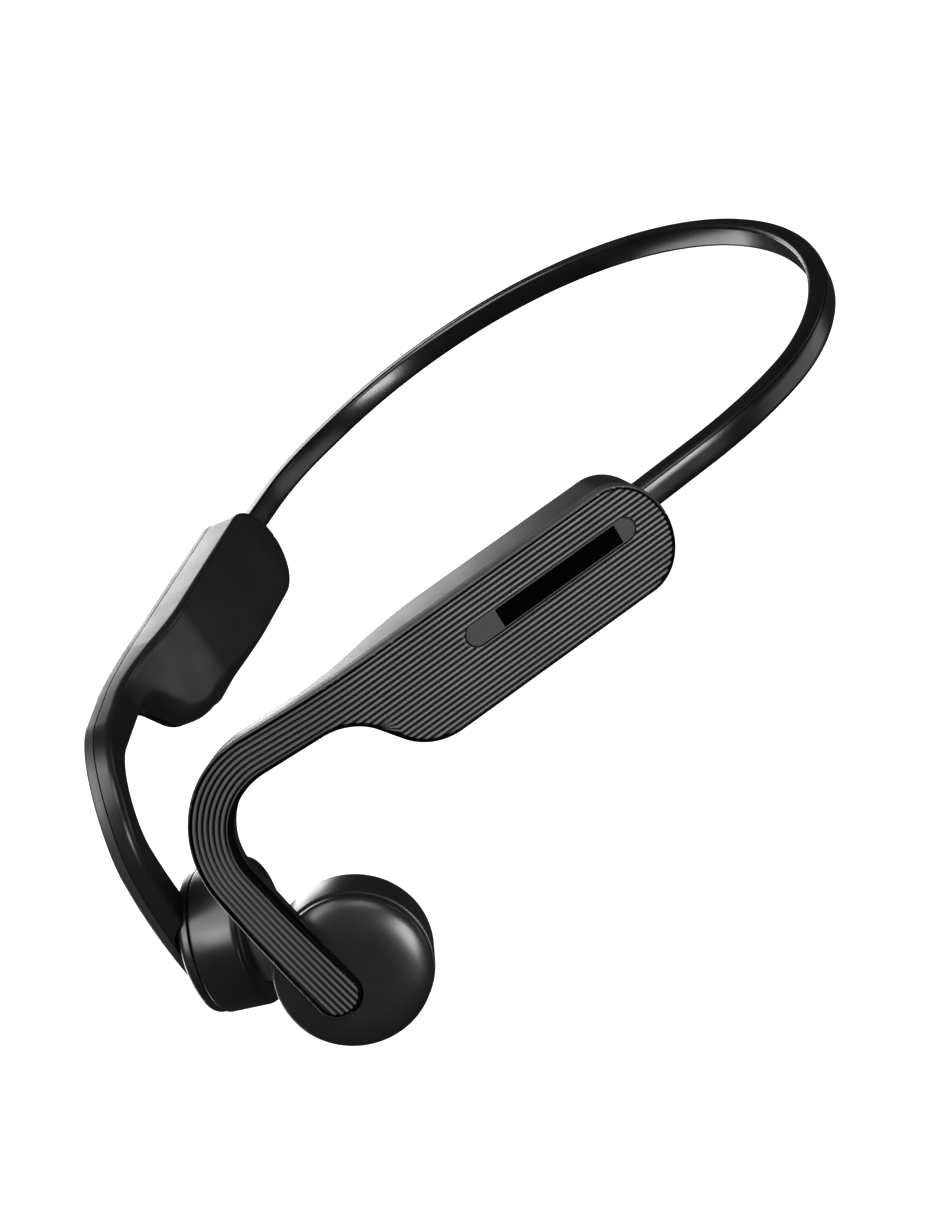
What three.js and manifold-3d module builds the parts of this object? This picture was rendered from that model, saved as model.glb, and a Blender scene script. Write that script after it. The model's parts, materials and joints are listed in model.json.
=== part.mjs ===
// Neckband bone conduction headphones: two ribbed arms that hook over the ears, a disc-shaped
// transducer pod at the front of each arm, and a flat sprung strap that joins them behind the neck.
// Millimetres, +Z up, wearer facing -Y, mirror plane X = 0. The model stands on its two pods and
// on the back of the strap, with the origin in the middle of its footprint.

import * as THREE from 'three';
import { mergeVertices } from 'three/addons/utils/BufferGeometryUtils.js';
import Module from 'manifold-3d';

const wasm = await Module();
wasm.setup();

// ---------- driving dimensions ----------

const GAP = 0.3; // clearance between neighbouring pieces
const BAR_GAP = 0.15; // clearance round the bar set into the button

// Arm outline, drawn flat: s runs back along the housing, t runs up, depth runs in to the head.
const HALF_HEIGHT = 9.3; // half height of the housing
const REAR_START = 36; // where the rounded rear end starts
const REAR_REACH = 7.5; // length of the rounded rear end
const BELLY_START = 0.5; // where the lower edge starts to sweep up to the hook
const BELLY_RADIUS = 9.5;
const NECK_RADIUS = 8.9;
const SWEEP_ANGLE = 1.007; // slope of the straight stretch between belly and neck
const STRIP_HALF = 3.3; // half width of the hook at the housing
const TIP_HALF = 3.75; // half width of the hook over the pod
const HOOK_START = -27; // where the hook starts to turn down
const HOOK_RADIUS = 14;
const HOOK_TURN = THREE.MathUtils.degToRad(98);
const DROP = 23.8; // from the end of the turn to the centre of the round tip

// The front of the arm is rolled in towards the head about a slanted line.
const ROLL_START = -9.5;
const ROLL_SLANT = THREE.MathUtils.degToRad(32);
const ROLL_RADIUS = 57;

// Place of the flat arm drawing in the headphones.
const ARM_X = 37.8;
const TOE_OUT = THREE.MathUtils.degToRad(26.7);

// Thicknesses through the arm.
const COVER_THICKNESS = 1.6;
const COVER_BEVEL = 0.4;
const HOUSING_DEPTH = 8.8;
const HOOK_DEPTH = 4.8;
const DEPTH_FADE_BACK = 6; // the housing starts to thin out here
const DEPTH_FADE_FRONT = -18; // and is as thin as the hook here
const EDGE_RADIUS = 2; // rounding of the inner edges
const WALL = 1.3;
const GROOVE_WIDTH = 2.2; // groove for the wire in the hook
const GROOVE_FLOOR = 3.6;
const HOOK_WIRE = 1.4; // thickness of the square wire in the hook

// Pod: rim plane of the outer cap (s, t, depth), axis in to the head, and radii.
const POD_CENTRE = [-33.7, -33, 2.6];
const POD_AXIS = [0.199, -0.213, 1];
const CAP_RADIUS = 12.2;
const CAP_RISE = 1.9;
const POD_RADIUS = 12.5;
const SHELL_START = 1.5;
const SHELL_END = 10;
const SHELL_BORE = 11.4; // inner radius of the pod shell
const SPIGOT_RADIUS = 10.9; // part of the cap that plugs into the shell
const SEAL_BED = 10.3; // floor radius of the seal's groove
const SEAL_START = 2;
const SEAL_END = 3.2;
const PAD_RADIUS = 9;
const PAD_OPENING = 9.3; // radius of the hole the contact pad sits in
const PAD_FACE_RADIUS = 7;
const PAD_FACE = 11.4; // distance from the rim plane to the flat contact face

// Strap centre line from above: a straight lead, a bend, then a quarter of an ellipse.
const STRAP_HALF_SPAN = 62;
const STRAP_REACH = 50;
const STRAP_WIDEST = 71;
const BEND_RADIUS = 55;
const LEAD_ANGLE = THREE.MathUtils.degToRad(22);
const LEAD_LENGTH = 14.5;
const STRAP_LEVEL = 3;
const STRAP_RISE = 4.8; // how much higher the back of the strap is than its ends
const STRAP_THICKNESS = 3;
const STRAP_HEIGHT = 4.2;
const STRAP_BEVEL = 0.8;
const SLOT_THICKNESS = 1.8; // hollow of the sleeve
const SLOT_HEIGHT = 3.2;
const SLOT_BEVEL = 0.5;
const SPLIT_GAP = 0.15; // half of the gap between the two halves of the strap
const CORE_RADIUS = 0.55;
const CORE_LEVEL = 0.75; // height of the wire above the strap's centre line
const HARNESS_RADIUS = 0.4;

// Multi-function button on the left cover.
const BUTTON_FRONT = 10;
const BUTTON_REAR = 36.5;
const BUTTON_LEVEL = 2;
const BUTTON_RADIUS = 1.9;
const BAR_FRONT = 14;
const BAR_REAR = 35.5;
const BAR_HALF = 1.55;
const BAR_THICKNESS = 0.4;
const FLANGE_WIDTH = 0.6; // the buttons' flanges keep them in their openings
const FLANGE_THICKNESS = 0.6;
const PRESS_TRAVEL = 0.4; // how far every button moves
const SWITCH_HALF = 1.8;

// Controls along the lower edge of the right housing.
const EDGE_DEPTH = 4.3; // depth of their centre line
const VOLUME_PLACES = { up: 19, down: 29.5 };
const VOLUME_LENGTH = 7.5;
const VOLUME_RADIUS = 1.3;
const VOLUME_PROUD = 0.4;
const PORT_PLACE = 7;
const PORT_LENGTH = 9;
const PORT_RADIUS = 1.6;
const FLAP_LENGTH = 12;
const FLAP_RADIUS = 2;
const FLAP_THICKNESS = 0.7;
const LAMP_PLACE = 36;
const LAMP_LENGTH = 1.6;
const LAMP_RADIUS = 0.6;
const LAMP_HEIGHT = 2.6;
const BOARD_BOTTOM = -4.7; // lower face of the charging board

// The whole model is tipped back until it stands on the pods and the back of the strap.
const STAND_TILT = THREE.MathUtils.degToRad(-19.9);

// ---------- materials ----------

const finish = (color, roughness, metalness = 0) =>
  new THREE.MeshStandardMaterial({ color, roughness, metalness });

const satinBlack = finish(0x161617, 0.42);
const ribbedBlack = finish(0x1b1b1c, 0.5);
const strapBlack = finish(0x101011, 0.35);
const glossBlack = finish(0x050506, 0.12);
const buttonGrey = finish(0x2c2c2e, 0.45);
const padGrey = finish(0x3a3a3c, 0.6);
const rubberBlack = finish(0x141414, 0.8);
const boardGreen = finish(0x14502e, 0.5);
const chipGrey = finish(0x9a9da0, 0.35, 0.8);
const steel = finish(0xb4b6b8, 0.3, 1);
const titanium = finish(0x8c8a86, 0.35, 1);
const nickel = finish(0xc2c3c4, 0.2, 1);
const copper = finish(0xb5652d, 0.35, 1);
const cellSilver = finish(0xa6a9ad, 0.4, 0.6);
const lampWhite = finish(0xdfe4e8, 0.3);

// ---------- mesh helpers ----------

const lerp = THREE.MathUtils.lerp;

// Evenly spaced values from one end to the other, both included.
const span = (from, to, steps) =>
  Array.from({ length: steps + 1 }, (_, i) => lerp(from, to, i / steps));

// A closed skin over rings that all have the same even number of points. Each end is closed
// with strips that run from the first half of the ring to the second.
function loft(rings) {
  const count = rings[0].length;
  const index = [];
  for (let i = 0; i < rings.length - 1; i += 1) {
    for (let j = 0; j < count; j += 1) {
      const a = i * count + j;
      const b = i * count + ((j + 1) % count);
      index.push(a, b, a + count, b, b + count, a + count);
    }
  }
  const last = (rings.length - 1) * count;
  for (let j = 0; j < count / 2 - 1; j += 1) {
    const [a, b, c, d] = [j, j + 1, count - 2 - j, count - 1 - j];
    index.push(a, c, b, a, d, c);
    index.push(last + a, last + b, last + c, last + a, last + c, last + d);
  }
  const geometry = new THREE.BufferGeometry();
  const positions = rings.flat().flatMap((p) => [p.x, p.y, p.z]);
  geometry.setAttribute('position', new THREE.Float32BufferAttribute(positions, 3));
  geometry.setIndex(index);
  return geometry;
}

function signedVolume(geometry) {
  const p = geometry.getAttribute('position');
  const index = geometry.getIndex();
  const [a, b, c] = [new THREE.Vector3(), new THREE.Vector3(), new THREE.Vector3()];
  let total = 0;
  for (let i = 0; i < index.count; i += 3) {
    a.fromBufferAttribute(p, index.getX(i));
    b.fromBufferAttribute(p, index.getX(i + 1));
    c.fromBufferAttribute(p, index.getX(i + 2));
    total += a.dot(b.cross(c)) / 6;
  }
  return total;
}

// Merges shared corners and turns the faces outward.
function closed(geometry) {
  const bare = geometry.clone();
  bare.deleteAttribute('normal');
  bare.deleteAttribute('uv');
  const merged = mergeVertices(bare, 1e-4);
  if (signedVolume(merged) < 0) {
    const index = merged.getIndex();
    for (let i = 0; i < index.count; i += 3) {
      const first = index.getX(i);
      index.setX(i, index.getX(i + 1));
      index.setX(i + 1, first);
    }
  }
  return merged;
}

function toSolid(geometry) {
  const bare = closed(geometry);
  return new wasm.Manifold(
    new wasm.Mesh({
      numProp: 3,
      vertProperties: new Float32Array(bare.getAttribute('position').array),
      triVerts: new Uint32Array(bare.getIndex().array),
    }),
  );
}

function toGeometry(solid) {
  const mesh = solid.getMesh();
  const geometry = new THREE.BufferGeometry();
  const positions = new Float32Array(mesh.vertProperties);
  geometry.setAttribute('position', new THREE.BufferAttribute(positions, 3));
  geometry.setIndex(new THREE.BufferAttribute(new Uint32Array(mesh.triVerts), 1));
  return geometry;
}

function cut(body, tools) {
  return toGeometry(tools.reduce((solid, tool) => solid.subtract(toSolid(tool)), toSolid(body)));
}

function joined(bodies) {
  return toGeometry(bodies.map(toSolid).reduce((solid, next) => solid.add(next)));
}

// The same shape on the other side of the mirror plane.
function mirrored(geometry) {
  return closed(geometry.clone().scale(-1, 1, 1));
}

// ---------- the arm drawing ----------

const STRIP_LINE = HALF_HEIGHT - STRIP_HALF; // level of the hook's centre line at the housing
const BELLY_CENTRE = [BELLY_START, BELLY_RADIUS - HALF_HEIGHT];
const NECK_LEVEL = STRIP_LINE - STRIP_HALF - NECK_RADIUS;
const SWEEP_REACH = BELLY_RADIUS + NECK_RADIUS;
const SWEEP_LENGTH =
  (NECK_LEVEL - BELLY_CENTRE[1] + SWEEP_REACH * Math.cos(SWEEP_ANGLE)) / Math.sin(SWEEP_ANGLE);
const NECK_START =
  BELLY_START - SWEEP_REACH * Math.sin(SWEEP_ANGLE) - SWEEP_LENGTH * Math.cos(SWEEP_ANGLE);
const TURN_CENTRE = [HOOK_START, STRIP_LINE - HOOK_RADIUS];
const TURN_HALF = lerp(STRIP_HALF, TIP_HALF, 0.4); // half width at the end of the turn

// A point given along, up and in from the arm's outer face, in the headphones' frame.
function placed(s, t, depth) {
  return new THREE.Vector3(
    ARM_X + s * Math.sin(TOE_OUT) - depth * Math.cos(TOE_OUT),
    s * Math.cos(TOE_OUT) + depth * Math.sin(TOE_OUT),
    t,
  );
}

// The same, with the front of the arm rolled in.
function rolled(s, t, depth) {
  const forward = [-Math.cos(ROLL_SLANT), Math.sin(ROLL_SLANT)];
  const travel = (s - ROLL_START) * forward[0] + t * forward[1];
  const side = -(s - ROLL_START) * forward[1] + t * forward[0];
  const angle = Math.max(travel, 0) / ROLL_RADIUS;
  const flat = Math.min(travel, 0);
  const run = flat + (ROLL_RADIUS - depth) * Math.sin(angle);
  const inward = ROLL_RADIUS - (ROLL_RADIUS - depth) * Math.cos(angle);
  return placed(
    ROLL_START + run * forward[0] - side * forward[1],
    run * forward[1] + side * forward[0],
    inward,
  );
}

// Stations along the outline, from the rear end to the tip of the hook. Each one gives its low
// and its high edge as [s, t], moved in from the outline by an inset.
const upright = (s, low, high) => ({ low: [s, low], high: [s, high] });
const acrossHook = (centre, q, half) => ({
  low: [centre[0] + half * Math.sin(q), centre[1] - half * Math.cos(q)],
  high: [centre[0] - half * Math.sin(q), centre[1] + half * Math.cos(q)],
});

const atRear = (q) => (inset) => {
  const half = (HALF_HEIGHT - inset) * Math.sin(q);
  return upright(REAR_START + (REAR_REACH - inset) * Math.cos(q), -half, half);
};
const atHousing = (s) => (inset) => upright(s, inset - HALF_HEIGHT, HALF_HEIGHT - inset);
const atBelly = (q) => (inset) => {
  const radius = BELLY_RADIUS - inset;
  const s = BELLY_CENTRE[0] - radius * Math.sin(q);
  return upright(s, BELLY_CENTRE[1] - radius * Math.cos(q), HALF_HEIGHT - inset);
};
const atNeck = (q) => (inset) => {
  const radius = NECK_RADIUS + inset;
  const s = NECK_START + radius * Math.sin(q);
  return upright(s, NECK_LEVEL + radius * Math.cos(q), HALF_HEIGHT - inset);
};
const atTurn = (q) => (inset) => {
  const centre = [
    TURN_CENTRE[0] - HOOK_RADIUS * Math.sin(q),
    TURN_CENTRE[1] + HOOK_RADIUS * Math.cos(q),
  ];
  return acrossHook(centre, q, lerp(STRIP_HALF, TURN_HALF, q / HOOK_TURN) - inset);
};
const dropPoint = (distance) => [
  TURN_CENTRE[0] - HOOK_RADIUS * Math.sin(HOOK_TURN) - distance * Math.cos(HOOK_TURN),
  TURN_CENTRE[1] + HOOK_RADIUS * Math.cos(HOOK_TURN) - distance * Math.sin(HOOK_TURN),
];
const atDrop = (distance) => (inset) => {
  const half = lerp(TURN_HALF, TIP_HALF, distance / DROP) - inset;
  return acrossHook(dropPoint(distance), HOOK_TURN, half);
};
const atTip = (q) => (inset) => {
  const radius = TIP_HALF - inset;
  return acrossHook(dropPoint(DROP + radius * Math.sin(q)), HOOK_TURN, radius * Math.cos(q));
};

const BLUNT = 0.12; // angle at which the round ends are closed with a short flat
const rearStations = span(BLUNT, Math.PI / 2, 6).map(atRear);
const housingStations = span(REAR_START, BELLY_START, 4).slice(1).map(atHousing);
const bellyStations = span(0, SWEEP_ANGLE, 4).slice(1).map(atBelly);
const neckStations = span(SWEEP_ANGLE, 0, 4).map(atNeck);
const turnStations = span(0, HOOK_TURN, 10).map(atTurn);
const dropStations = span(0, DROP, 6).slice(1).map(atDrop);
const tipStations = span(0, Math.PI / 2 - BLUNT, 4).slice(1).map(atTip);

const housing = [...rearStations, ...housingStations, ...bellyStations, ...neckStations];
const hook = [...turnStations, ...dropStations];
const wholeArm = [...housing, ...hook, ...tipStations];

// Depth of the inner shell at a station.
function shellDepth(at) {
  const s = at(0).high[0];
  const fade = THREE.MathUtils.smoothstep(s, DEPTH_FADE_FRONT, DEPTH_FADE_BACK);
  return lerp(HOOK_DEPTH, HOUSING_DEPTH, fade);
}

// A solid over stations: section(at) lists the ring as [edge, inset, depth].
function armSolid(stations, section) {
  return loft(
    stations.map((at) =>
      section(at).map(([edge, inset, depth]) => rolled(...at(inset)[edge], depth)),
    ),
  );
}

// A slab between two depths, moved in from the outline all round.
const slab = (stations, inset, top, bottom) =>
  armSolid(stations, (at) => [
    ['low', inset, top],
    ['low', inset, bottom(at)],
    ['high', inset, bottom(at)],
    ['high', inset, top],
  ]);

// A prism that follows the hook's centre line, given as corners [across, depth].
function alongHook(stations, corners) {
  return loft(
    stations.map((at) => {
      const { low, high } = at(0);
      const middle = [(low[0] + high[0]) / 2, (low[1] + high[1]) / 2];
      const width = Math.hypot(high[0] - low[0], high[1] - low[1]);
      const unit = [(high[0] - low[0]) / width, (high[1] - low[1]) / width];
      return corners.map(([across, depth]) =>
        rolled(middle[0] + across * unit[0], middle[1] + across * unit[1], depth),
      );
    }),
  );
}

// ---------- the strap's centre line ----------

// Stations from inside the housing to the mirror plane: a point and the outward direction.
function strapStations(extra = 0, end = SPLIT_GAP) {
  const level = (y) => {
    const q = THREE.MathUtils.clamp((y - STRAP_WIDEST) / STRAP_REACH, 0, 1);
    return STRAP_LEVEL + STRAP_RISE * q ** 1.5;
  };
  const station = (x, y, heading) => ({
    point: new THREE.Vector3(x, y, level(y)),
    outward: new THREE.Vector3(Math.cos(heading), -Math.sin(heading), 0),
  });
  const bendX = STRAP_HALF_SPAN - BEND_RADIUS;
  const leadX = bendX + BEND_RADIUS * Math.cos(LEAD_ANGLE);
  const leadY = STRAP_WIDEST - BEND_RADIUS * Math.sin(LEAD_ANGLE);
  const lead = span(LEAD_LENGTH + extra, 0, 2).map((run) =>
    station(leadX - run * Math.sin(LEAD_ANGLE), leadY - run * Math.cos(LEAD_ANGLE), LEAD_ANGLE),
  );
  const bend = span(LEAD_ANGLE, 0, 4)
    .slice(1)
    .map((q) =>
      station(bendX + BEND_RADIUS * Math.cos(q), STRAP_WIDEST - BEND_RADIUS * Math.sin(q), q),
    );
  const quarter = span(0, Math.acos(end / STRAP_HALF_SPAN), 18)
    .slice(1)
    .map((q) => {
      const x = STRAP_HALF_SPAN * Math.cos(q);
      const y = STRAP_WIDEST + STRAP_REACH * Math.sin(q);
      return station(x, y, -Math.atan2(STRAP_HALF_SPAN * Math.sin(q), STRAP_REACH * Math.cos(q)));
    });
  const all = [...lead, ...bend, ...quarter];
  all[all.length - 1].outward.set(0, 1, 0);
  return all;
}

// A prism along the strap, given as corners [outward, up].
const alongStrap = (stations, corners) =>
  loft(
    stations.map(({ point, outward }) =>
      corners.map(([out, up]) => {
        const corner = point.clone().addScaledVector(outward, out);
        corner.z += up;
        return corner;
      }),
    ),
  );

// A rectangle with bevelled corners.
function bevelled(width, height, bevel) {
  const [w, h] = [width / 2, height / 2];
  return [
    [w, h - bevel],
    [w - bevel, h],
    [bevel - w, h],
    [-w, h - bevel],
    [-w, bevel - h],
    [bevel - w, -h],
    [w - bevel, -h],
    [w, bevel - h],
  ];
}

// A regular polygon that stands for a round section.
const round = (radius, level, sides = 8) =>
  span(0, 2 * Math.PI, sides)
    .slice(0, sides)
    .map((q) => [radius * Math.cos(q), level + radius * Math.sin(q)]);

// Space for the strap where it enters the inner shell, opened up to the shell's outer edge.
const strapEntry = alongStrap(
  strapStations(1).slice(0, 5),
  bevelled(STRAP_THICKNESS + 3 * GAP, STRAP_HEIGHT + 2 * GAP, STRAP_BEVEL).map(([out, up]) => [
    out + GAP / 2,
    up,
  ]),
);

// ---------- local frames ----------

// Frame of an arm: X back along the housing, Y up. Z points out on the left, in on the right.
function armFrame(side) {
  const along = new THREE.Vector3(side * Math.sin(TOE_OUT), Math.cos(TOE_OUT), 0);
  const up = new THREE.Vector3(0, 0, 1);
  const frame = new THREE.Group();
  frame.quaternion.setFromRotationMatrix(
    new THREE.Matrix4().makeBasis(along, up, along.clone().cross(up)),
  );
  frame.position.set(side * ARM_X, 0, 0);
  return frame;
}

// Frame of a pod: Y runs in to the head from the rim plane of the outer cap.
function podFrame(side) {
  const centre = placed(...POD_CENTRE);
  const axis = placed(...POD_AXIS).sub(placed(0, 0, 0)).normalize();
  const frame = new THREE.Group();
  frame.position.set(side * centre.x, centre.y, centre.z);
  frame.quaternion.setFromUnitVectors(
    new THREE.Vector3(0, 1, 0),
    new THREE.Vector3(side * axis.x, axis.y, axis.z),
  );
  frame.updateMatrix();
  return frame;
}

// ---------- shapes ----------

const turned = (profile, segments = 40) =>
  new THREE.LatheGeometry(profile.map(([r, h]) => new THREE.Vector2(r, h)), segments);

// A ring with a rectangular section: inner and outer radius, start and end along the axis.
const ring = (inner, outer, start, end, segments) =>
  turned([[inner, start], [outer, start], [outer, end], [inner, end], [inner, start]], segments);

function stadiumOutline(length, radius) {
  const shape = new THREE.Shape();
  const straight = length / 2 - radius;
  shape.absarc(straight, 0, radius, -Math.PI / 2, Math.PI / 2);
  shape.absarc(-straight, 0, radius, Math.PI / 2, 1.5 * Math.PI);
  return shape;
}

// A stadium-shaped slab lying in XY, from one height to another.
function stadium(length, radius, from, to) {
  const options = { depth: to - from, bevelEnabled: false, curveSegments: 6 };
  return new THREE.ExtrudeGeometry(stadiumOutline(length, radius), options).translate(0, 0, from);
}

// The same slab set into the lower edge of the housing: from and to are levels t.
const edgeStadium = (length, radius, from, to) =>
  stadium(length, radius, from, to).rotateX(-Math.PI / 2);

// A box given by its lowest and highest corner.
function block(low, high) {
  const size = high.map((v, i) => v - low[i]);
  const middle = high.map((v, i) => (v + low[i]) / 2);
  return new THREE.BoxGeometry(...size).translate(...middle);
}

// ---------- arm pieces ----------

const coverSection = () => [
  ['low', COVER_BEVEL, 0],
  ['low', 0, COVER_BEVEL],
  ['low', 0, COVER_THICKNESS],
  ['high', 0, COVER_THICKNESS],
  ['high', 0, COVER_BEVEL],
  ['high', COVER_BEVEL, 0],
];

const shellTop = COVER_THICKNESS + GAP;

function shellSection(at) {
  const depth = shellDepth(at);
  const softer = 0.3 * EDGE_RADIUS;
  return [
    ['low', 0, shellTop],
    ['low', 0, depth - EDGE_RADIUS],
    ['low', softer, depth - softer],
    ['low', EDGE_RADIUS, depth],
    ['high', EDGE_RADIUS, depth],
    ['high', softer, depth - softer],
    ['high', 0, depth - EDGE_RADIUS],
    ['high', 0, shellTop],
  ];
}

const buttonLength = BUTTON_REAR - BUTTON_FRONT + 2 * BUTTON_RADIUS;
const buttonMiddle = (BUTTON_REAR + BUTTON_FRONT) / 2;

// Moves a shape drawn in the left arm's frame to the headphones' frame.
function fromArmFrame(geometry, side = 1) {
  const frame = armFrame(side);
  frame.updateMatrix();
  return geometry.clone().applyMatrix4(frame.matrix);
}

function outerCover(withButton) {
  const plate = armSolid(wholeArm, coverSection);
  if (!withButton) return plate;
  const opening = stadium(buttonLength + 2 * GAP, BUTTON_RADIUS + GAP, -COVER_THICKNESS - 1, 1);
  return cut(plate, [fromArmFrame(opening.translate(buttonMiddle, BUTTON_LEVEL, 0))]);
}

// Rounded rim of the pod cap, as [radius, distance along the pod's axis] from the flat face out.
const capRim = [
  [CAP_RADIUS - 4.2, -CAP_RISE],
  [CAP_RADIUS - 2.2, -0.79 * CAP_RISE],
  [CAP_RADIUS - 0.7, -0.32 * CAP_RISE],
  [CAP_RADIUS, 0.26 * CAP_RISE],
];

// Space taken up by a pod, with clearance.
const podEnvelope = () =>
  turned([
    [0, -CAP_RISE - GAP],
    ...capRim.map(([radius, height]) => [radius + GAP, height - GAP]),
    [POD_RADIUS + GAP, SHELL_START],
    [POD_RADIUS + GAP, SHELL_END + GAP],
    [0, SHELL_END + GAP],
  ]).applyMatrix4(podFrame(1).matrix);

// The inner shell is hollow in the housing and grooved along the hook for the wire.
function innerShell(edgeTools) {
  const body = armSolid([...housing, ...hook], shellSection);
  const above = COVER_THICKNESS - 0.6;
  const pocket = slab(housing.slice(0, -2), WALL, above, (at) => shellDepth(at) - WALL);
  const half = GROOVE_WIDTH / 2;
  const groove = alongHook(
    [...neckStations.slice(1), ...turnStations, ...dropStations.slice(0, 3)],
    [[-half, above], [half, above], [half, GROOVE_FLOOR], [-half, GROOVE_FLOOR]],
  );
  return cut(body, [pocket, groove, podEnvelope(), strapEntry, ...edgeTools]);
}

// Shapes cut into the lower edge of the right housing, drawn for the left and mirrored with it.
function edgeOpenings() {
  const outside = -HALF_HEIGHT - 1;
  const inside = WALL - HALF_HEIGHT + 1;
  const seat = FLAP_THICKNESS + GAP - HALF_HEIGHT;
  const opening = (s, length, radius, top) =>
    fromArmFrame(
      edgeStadium(length + 2 * GAP, radius + GAP, outside, top).translate(s, 0, -EDGE_DEPTH),
    );
  return [
    ...Object.values(VOLUME_PLACES).map((s) => opening(s, VOLUME_LENGTH, VOLUME_RADIUS, inside)),
    opening(PORT_PLACE, PORT_LENGTH, PORT_RADIUS, inside),
    opening(PORT_PLACE, FLAP_LENGTH, FLAP_RADIUS, seat),
    opening(LAMP_PLACE, LAMP_LENGTH, LAMP_RADIUS, inside),
  ];
}

function hookWire() {
  const half = HOOK_WIRE / 2;
  const top = shellTop + 0.2;
  return alongHook(
    [...neckStations.slice(2), ...turnStations, ...dropStations.slice(0, 2)],
    [[-half, top], [half, top], [half, top + HOOK_WIRE], [-half, top + HOOK_WIRE]],
  );
}

// ---------- pod pieces ----------

// Outer cap with a spigot that plugs into the pod shell, and a seat for the tip of the hook.
function podCap() {
  const [floor, end] = [SEAL_START - 0.6, SEAL_END + 0.6];
  const cap = turned([
    [0, -CAP_RISE],
    ...capRim,
    [CAP_RADIUS, SHELL_START - GAP],
    [SPIGOT_RADIUS, SHELL_START - GAP],
    [SPIGOT_RADIUS, SEAL_START],
    [SEAL_BED, SEAL_START],
    [SEAL_BED, SEAL_END],
    [SPIGOT_RADIUS, SEAL_END],
    [SPIGOT_RADIUS, end],
    [SPIGOT_RADIUS - 1.2, end],
    [SPIGOT_RADIUS - 1.2, floor - 1],
    [SPIGOT_RADIUS - 2.3, -0.5],
    [0, -0.5],
  ]).applyMatrix4(podFrame(1).matrix);
  const seat = slab([...dropStations, ...tipStations], -GAP, -2, () => shellTop);
  return cut(cap, [seat]);
}

const podPieces = [
  ['pod_shell', satinBlack, () =>
    turned([
      [SHELL_BORE, SHELL_START],
      [POD_RADIUS - 0.3, SHELL_START],
      [POD_RADIUS, SHELL_START + 0.5],
      [POD_RADIUS, SHELL_END - 1.4],
      [POD_RADIUS - 0.5, SHELL_END - 0.4],
      [POD_RADIUS - 1.4, SHELL_END],
      [PAD_OPENING, SHELL_END],
      [PAD_OPENING, SHELL_END - 1],
      [SHELL_BORE, SHELL_END - 1.4],
      [SHELL_BORE, SHELL_START],
    ])],
  ['pod_seal', rubberBlack, () =>
    ring(SEAL_BED + 0.2, SHELL_BORE - 0.2, SEAL_START + 0.2, SEAL_END - 0.2, 32)],
  ['contact_pad', padGrey, () =>
    turned([
      [0, PAD_FACE - 2],
      [PAD_RADIUS - 0.8, PAD_FACE - 2],
      [PAD_RADIUS, PAD_FACE - 1.8],
      [PAD_RADIUS, PAD_FACE - 0.8],
      [PAD_RADIUS - 0.6, PAD_FACE - 0.3],
      [PAD_FACE_RADIUS, PAD_FACE],
      [0, PAD_FACE],
    ])],
  ['transducer_yoke', steel, () =>
    turned([[0, 4.4], [8.2, 4.4], [8.2, 7.6], [7.3, 7.6], [7.3, 5.3], [0, 5.3]], 28)],
  ['transducer_magnet', nickel, () => turned([[0, 5.6], [5.2, 5.6], [5.2, 7.2], [0, 7.2]], 24)],
  ['voice_coil', copper, () => ring(5.7, 6.8, 5.9, 7.9, 24)],
  ['vibration_plate', titanium, () => turned([[0, 8.2], [8.8, 8.2], [8.8, 8.8], [0, 8.8]], 28)],
];

// ---------- assembly ----------

const headphones = new THREE.Group();

function add(parent, name, geometry, material) {
  const mesh = new THREE.Mesh(closed(geometry), material);
  mesh.name = name;
  parent.add(mesh);
  return mesh;
}

// Pieces drawn for the left and mirrored for the right.
function addPair(name, geometry, material) {
  add(headphones, `left_${name}`, geometry, material);
  add(headphones, `right_${name}`, mirrored(geometry), material);
}

// Shells, covers and hooks.
add(headphones, 'left_outer_cover', outerCover(true), ribbedBlack);
add(headphones, 'right_outer_cover', mirrored(outerCover(false)), ribbedBlack);
add(headphones, 'left_inner_shell', innerShell([]), satinBlack);
add(headphones, 'right_inner_shell', mirrored(innerShell(edgeOpenings())), satinBlack);
addPair('hook_wire', hookWire(), titanium);
addPair('pod_cap', podCap(), satinBlack);

// Pods.
for (const [sideName, side] of [['left', 1], ['right', -1]]) {
  const pod = podFrame(side);
  headphones.add(pod);
  for (const [name, material, shape] of podPieces) {
    add(pod, `${sideName}_${name}`, shape(), material);
  }
}

// Strap: a sleeve with a slot through it for the sprung wire and the wiring.
const strapOuter = bevelled(STRAP_THICKNESS, STRAP_HEIGHT, STRAP_BEVEL);
const slot = bevelled(SLOT_THICKNESS, SLOT_HEIGHT, SLOT_BEVEL);
const sleeve = cut(alongStrap(strapStations(), strapOuter), [
  alongStrap(strapStations(1, SPLIT_GAP - 1), slot),
]);
const alongSlot = (section) => alongStrap(strapStations(GAP), section);
addPair('strap_sleeve', sleeve, strapBlack);
addPair('strap_wire', alongSlot(round(CORE_RADIUS, CORE_LEVEL)), titanium);
addPair('strap_harness', alongSlot(round(HARNESS_RADIUS, -CORE_LEVEL, 6)), copper);

// Left housing: the button with its bar and switch, and the main board.
const leftArm = armFrame(1);
headphones.add(leftArm);

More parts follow.
